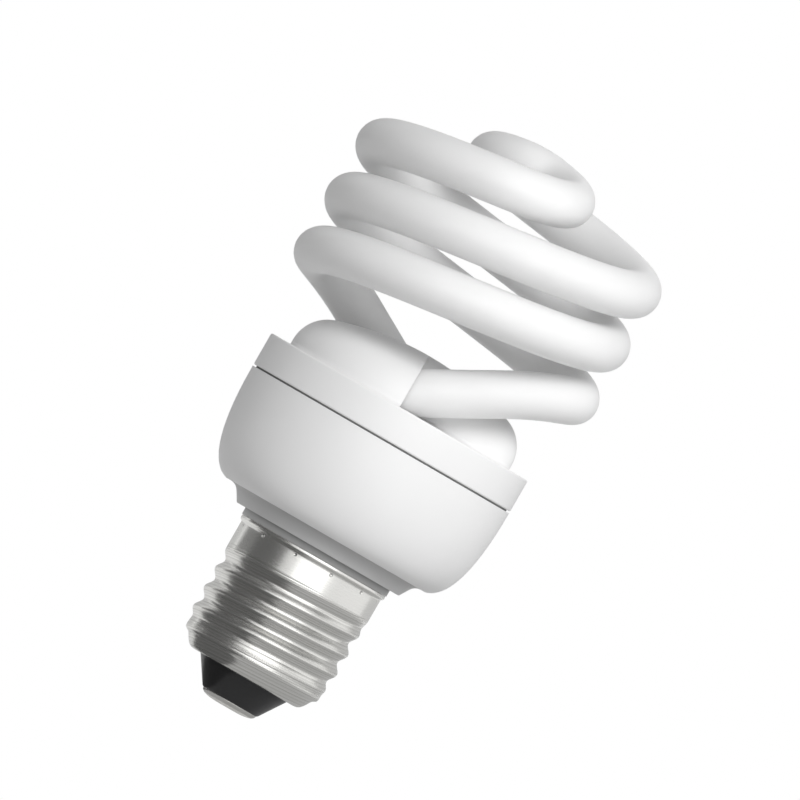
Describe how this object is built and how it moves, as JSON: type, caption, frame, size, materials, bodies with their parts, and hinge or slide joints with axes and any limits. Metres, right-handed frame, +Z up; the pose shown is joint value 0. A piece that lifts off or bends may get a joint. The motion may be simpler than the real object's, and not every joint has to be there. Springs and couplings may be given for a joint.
{
  "type": "spiral energy saving lamp, E27 screw cap",
  "caption": "Compact fluorescent lamp: a white spiral glass tube on a two-lobed cover, bowl-shaped ballast housing and Edison screw cap.",
  "frame": {"origin": "on the lamp's axis at the tip of the centre contact, the lowest point of the cap", "axes": "+Z runs up the lamp's axis from the cap to the top of the spiral, +X is to the right and -Y towards the viewer in the picture"},
  "size_m": [0.0566, 0.0566, 0.1056],
  "materials": {
    "phosphor_glass": "smooth glass, coated white inside",
    "cover_plastic": "fine satin moulding",
    "housing_plastic": "fine satin moulding",
    "cap_metal": "bright rolled sheet, nickel look",
    "cap_glass": "black opaque glass, glossy",
    "contact_metal": "soldered at the tip",
    "board_laminate": "paper laminate",
    "can_sleeve": "shrunk sleeve",
    "film_red": "dipped coating",
    "ferrite": "sintered",
    "bobbin_plastic": "moulded",
    "winding_copper": "enamelled wire",
    "ring_coating": "painted ferrite",
    "black_epoxy": "moulded",
    "resistor_lacquer": "lacquer",
    "fuse_lacquer": "lacquer",
    "diac_glass": "glass body",
    "thermistor_coating": "dipped coating",
    "pin_metal": "tinned",
    "lead_insulation": "insulated wire",
    "sealing_compound": "set compound"
  },
  "bodies": {
    "root": {"spiral_tube": "phosphor_glass", "tube_cover": "cover_plastic", "ballast_housing": "housing_plastic", "screw_shell": "cap_metal", "cap_insulator": "cap_glass", "centre_contact": "contact_metal", "tube_sealant_1": "sealing_compound", "tube_sealant_2": "sealing_compound", "circuit_board": "board_laminate", "storage_capacitor": "can_sleeve", "resonant_capacitor": "film_red", "coupling_capacitor": "film_red", "choke_core_1": "ferrite", "choke_core_2": "ferrite", "choke_bobbin": "bobbin_plastic", "choke_winding": "winding_copper", "feedback_ring": "ring_coating", "feedback_winding_1": "winding_copper", "feedback_winding_2": "winding_copper", "feedback_winding_3": "winding_copper", "transistor_1": "black_epoxy", "transistor_2": "black_epoxy", "rectifier_diode_1": "black_epoxy", "rectifier_diode_2": "black_epoxy", "rectifier_diode_3": "black_epoxy", "rectifier_diode_4": "black_epoxy", "base_resistor_1": "resistor_lacquer", "base_resistor_2": "resistor_lacquer", "emitter_resistor_1": "resistor_lacquer", "emitter_resistor_2": "resistor_lacquer", "start_resistor": "resistor_lacquer", "diac": "diac_glass", "thermistor": "thermistor_coating", "inductor_core": "ferrite", "inductor_winding": "winding_copper", "fusible_resistor": "fuse_lacquer", "live_lead": "lead_insulation", "neutral_lead": "lead_insulation", "wire_pin_1": "pin_metal", "wire_pin_2": "pin_metal", "wire_pin_3": "pin_metal", "wire_pin_4": "pin_metal", "filament_lead_1": "pin_metal", "filament_lead_2": "pin_metal", "filament_lead_3": "pin_metal", "filament_lead_4": "pin_metal"}
  },
  "joints": []
}
